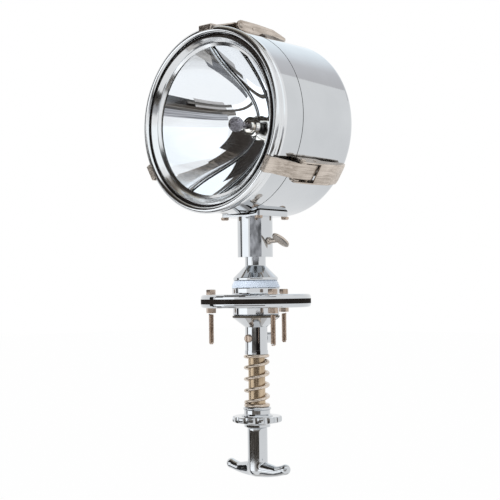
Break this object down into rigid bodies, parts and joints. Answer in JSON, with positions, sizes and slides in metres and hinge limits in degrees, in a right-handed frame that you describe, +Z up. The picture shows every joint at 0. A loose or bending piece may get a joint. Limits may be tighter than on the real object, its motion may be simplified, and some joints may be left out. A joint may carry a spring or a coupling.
{
  "type": "marine searchlight",
  "caption": "Round chromed searchlight head with draw latches on a through-roof ball joint, turned and tilted from below by a T handle with a sprung clamp.",
  "frame": {"origin": "on the spindle's axis, at the underside of the roof gasket", "axes": "+Z up along the spindle, the lens faces -Y"},
  "size_m": [0.1711, 0.1156, 0.4178],
  "materials": {
    "chrome": "polished, lightly worn plating",
    "nickel": "warm satin plating",
    "spring_steel": "plated wire",
    "brass": "satin, darkened",
    "nylon": "moulded, matt",
    "rubber": "moulded",
    "lens_glass": "clear",
    "bulb_glass": "clear",
    "mirror": "polished reflector"
  },
  "bodies": {
    "base": {"upper_flange": "chrome", "deck_gasket": "rubber", "lower_flange": "chrome", "deck_bolts": "nickel", "deck_nuts": "nickel"},
    "bearing": {"bearing_dome": "nylon"},
    "spindle": {"stem_bell": "chrome", "spindle_tube": "brass", "t_handle": "chrome", "tension_spring": "spring_steel"},
    "cup": {"clamp_cup": "chrome", "cross_bolt": "nickel", "cross_nut": "chrome"},
    "tension_nut": {"tension_nut": "chrome"},
    "head": {"saddle_bracket": "chrome", "saddle_gasket": "rubber", "saddle_screws": "chrome", "rear_housing": "chrome", "front_band": "chrome", "bezel": "chrome", "lens_gasket": "rubber", "lens": "lens_glass", "reflector": "mirror", "bulb": "bulb_glass", "lamp_socket": "brass", "latch_brackets": "nickel", "latch_rivets": "nickel"},
    "thumbscrew": {"thumbscrew": "nickel"},
    "lever_top": {"latch_lever_top": "nickel", "latch_pin_top": "nickel"},
    "strap_top": {"latch_strap_top": "nickel"},
    "lever_right": {"latch_lever_right": "nickel", "latch_pin_right": "nickel"},
    "strap_right": {"latch_strap_right": "nickel"},
    "lever_left": {"latch_lever_left": "nickel", "latch_pin_left": "nickel"},
    "strap_left": {"latch_strap_left": "nickel"}
  },
  "joints": [
    {"name": "pan", "type": "hinge", "parent": "base", "child": "bearing", "pos_m": [0, 0, 0.009], "axis": [0, 0, 1], "continuous": true},
    {"name": "tilt", "type": "hinge", "parent": "bearing", "child": "spindle", "pos_m": [0, 0, 0.009], "axis": [1, 0, 0], "range_deg": [-15, 15]},
    {"name": "cup_slide", "type": "slide", "parent": "spindle", "child": "cup", "axis": [0, 0, 1], "range_m": [-0.008, 0], "stiffness_N_per_m": 1500, "springref_m": 0.012, "deforming": ["tension_spring"]},
    {"name": "tension_nut_turn", "type": "hinge", "parent": "spindle", "child": "tension_nut", "pos_m": [0, 0, -0.105], "axis": [0, 0, 1], "continuous": true},
    {"name": "head_turn", "type": "hinge", "parent": "spindle", "child": "head", "pos_m": [0, 0, 0.06], "axis": [0, 0, 1], "continuous": true},
    {"name": "thumbscrew_turn", "type": "hinge", "parent": "head", "child": "thumbscrew", "pos_m": [0.03, 0, 0.0576], "axis": [1, 0, 0], "range_deg": [0, 360]},
    {"name": "lever_top_swing", "type": "hinge", "parent": "head", "child": "lever_top", "pos_m": [0, -0.027, 0.254], "axis": [1, 0, 0], "range_deg": [0, 100]},
    {"name": "strap_top_swing", "type": "hinge", "parent": "lever_top", "child": "strap_top", "pos_m": [0, -0.01, 0.2533], "axis": [-1, 0, 0], "range_deg": [0, 105]},
    {"name": "lever_right_swing", "type": "hinge", "parent": "head", "child": "lever_right", "pos_m": [0.07506, -0.027, 0.11575], "axis": [-0.5446, 0, -0.8387], "range_deg": [0, 100]},
    {"name": "strap_right_swing", "type": "hinge", "parent": "lever_right", "child": "strap_right", "pos_m": [0.07447, -0.01, 0.11614], "axis": [0.5446, 0, 0.8387], "range_deg": [0, 105]},
    {"name": "lever_left_swing", "type": "hinge", "parent": "head", "child": "lever_left", "pos_m": [-0.07751, -0.027, 0.11975], "axis": [-0.5, 0, 0.866], "range_deg": [0, 100]},
    {"name": "strap_left_swing", "type": "hinge", "parent": "lever_left", "child": "strap_left", "pos_m": [-0.0769, -0.01, 0.1201], "axis": [0.5, 0, -0.866], "range_deg": [0, 105]}
  ],
  "couplings": [
    {"joint": "strap_top_swing", "follows": "lever_top_swing", "ratio": 1.05},
    {"joint": "strap_right_swing", "follows": "lever_right_swing", "ratio": 1.05},
    {"joint": "strap_left_swing", "follows": "lever_left_swing", "ratio": 1.05}
  ]
}
